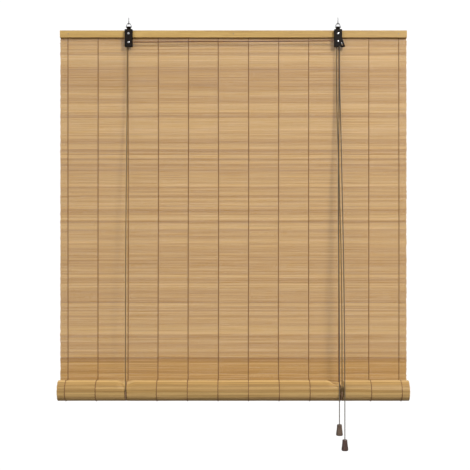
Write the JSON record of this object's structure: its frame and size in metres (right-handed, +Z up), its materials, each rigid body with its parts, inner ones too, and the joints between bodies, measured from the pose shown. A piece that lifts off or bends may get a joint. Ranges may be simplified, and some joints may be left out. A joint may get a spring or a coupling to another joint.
{
  "type": "roll-up slat blind",
  "caption": "Cord-operated bamboo slat blind on a wooden rail, rolled up from the bottom, with pulley bracket, cord lock, pull cords and wooden tassels.",
  "frame": {"origin": "midway between the two screw hooks, in the plane of the ceiling they are screwed into", "axes": "+Z up, +X along the rail to the right as seen from the front, +Y to the back, towards the window"},
  "size_m": [0.9, 0.0706, 1.1127],
  "materials": {
    "bamboo_slat": "satin",
    "rail_wood": "varnished",
    "tassel_wood": "stained",
    "brown_cord": "braided",
    "black_plate": "satin",
    "bright_steel": "nickel plated",
    "dark_roller": "satin"
  },
  "bodies": {
    "hooks": {"screw_hook_left": "bright_steel", "screw_hook_right": "bright_steel"},
    "ring_left": {"hanger_ring_left": "bright_steel"},
    "ring_right": {"hanger_ring_right": "bright_steel"},
    "rail": {"rail_front": "rail_wood", "rail_back": "rail_wood", "rail_nail_1": "bright_steel", "rail_nail_2": "bright_steel", "rail_nail_3": "bright_steel", "screen_top_band": "bamboo_slat", "screen_hanging": "bamboo_slat", "pulley_bracket_left": "black_plate", "cord_lock_housing": "black_plate", "bracket_screw_left": "bright_steel", "bracket_screw_right": "bright_steel", "pulley_axle_left": "bright_steel", "lock_axle": "bright_steel", "cross_cord": "brown_cord", "lift_cord_right_turn": "brown_cord", "lift_cord_left_front": "brown_cord", "lift_cord_right_front": "brown_cord", "lift_cord_left_back": "brown_cord", "lift_cord_right_back": "brown_cord", "cord_eye_left": "bright_steel", "cord_eye_right": "bright_steel", "lift_knot_left": "brown_cord", "lift_knot_right": "brown_cord", "pull_cord_1_upper": "brown_cord", "pull_cord_2_upper": "brown_cord"},
    "left_pulley": {"pulley_left": "dark_roller"},
    "lock_pulley": {"lock_pulley": "dark_roller"},
    "lock_roller": {"lock_roller": "dark_roller", "lock_roller_pin": "bright_steel"},
    "carriage": {"lift_cord_left_wrap": "brown_cord", "lift_cord_right_wrap": "brown_cord"},
    "roll": {"screen_roll": "bamboo_slat", "bottom_batten": "rail_wood"},
    "tassel_1": {"cord_tassel_1": "tassel_wood", "tassel_knot_1": "brown_cord", "pull_cord_1_lower": "brown_cord"},
    "tassel_2": {"cord_tassel_2": "tassel_wood", "tassel_knot_2": "brown_cord", "pull_cord_2_lower": "brown_cord"}
  },
  "joints": [
    {"name": "ring_swing", "type": "hinge", "parent": "hooks", "child": "ring_left", "pos_m": [-0.2708, 0, -0.005], "axis": [1, 0, 0], "range_deg": [-30, 30]},
    {"name": "ring_swing_right", "type": "hinge", "parent": "hooks", "child": "ring_right", "pos_m": [0.2708, 0, -0.005], "axis": [1, 0, 0], "range_deg": [-30, 30]},
    {"name": "rail_swing", "type": "hinge", "parent": "ring_left", "child": "rail", "pos_m": [-0.2708, 0, -0.0147], "axis": [1, 0, 0], "range_deg": [-30, 30]},
    {"name": "lift", "type": "slide", "parent": "rail", "child": "carriage", "axis": [0, 0, 1], "range_m": [0, 0.845], "deforming": ["screen_hanging", "lift_cord_left_front", "lift_cord_right_front", "lift_cord_left_back", "lift_cord_right_back", "pull_cord_1_upper", "pull_cord_2_upper"]},
    {"name": "roll_spin", "type": "hinge", "parent": "carriage", "child": "roll", "pos_m": [0, -0.01645, -0.9514], "axis": [1, 0, 0], "range_deg": [-1440, 0], "deforming": ["lift_cord_left_wrap", "lift_cord_right_wrap"]},
    {"name": "tassel_1_travel", "type": "slide", "parent": "carriage", "child": "tassel_1", "axis": [0, 0, 1], "range_m": [-2.535, 0], "deforming": ["pull_cord_1_lower"]},
    {"name": "tassel_2_travel", "type": "slide", "parent": "carriage", "child": "tassel_2", "axis": [0, 0, 1], "range_m": [-2.535, 0], "deforming": ["pull_cord_2_lower"]},
    {"name": "left_pulley_spin", "type": "hinge", "parent": "rail", "child": "left_pulley", "pos_m": [-0.2708, -0.00205, -0.05445], "axis": [0, 1, 0], "range_deg": [0, 24208.5]},
    {"name": "lock_pulley_spin", "type": "hinge", "parent": "rail", "child": "lock_pulley", "pos_m": [0.2708, -0.00205, -0.05145], "axis": [0, 1, 0], "range_deg": [0, 24208.5]},
    {"name": "lock_release", "type": "slide", "parent": "rail", "child": "lock_roller", "axis": [0.3987, 0, -0.9171], "range_m": [0, 0.006]}
  ],
  "couplings": [
    {"joint": "ring_swing_right", "follows": "ring_swing", "ratio": 1},
    {"joint": "roll_spin", "follows": "lift", "rad_per_m": -29.743},
    {"joint": "tassel_1_travel", "follows": "lift", "ratio": -3},
    {"joint": "tassel_2_travel", "follows": "lift", "ratio": -3},
    {"joint": "left_pulley_spin", "follows": "lift", "rad_per_m": 500},
    {"joint": "lock_pulley_spin", "follows": "lift", "rad_per_m": 500}
  ]
}
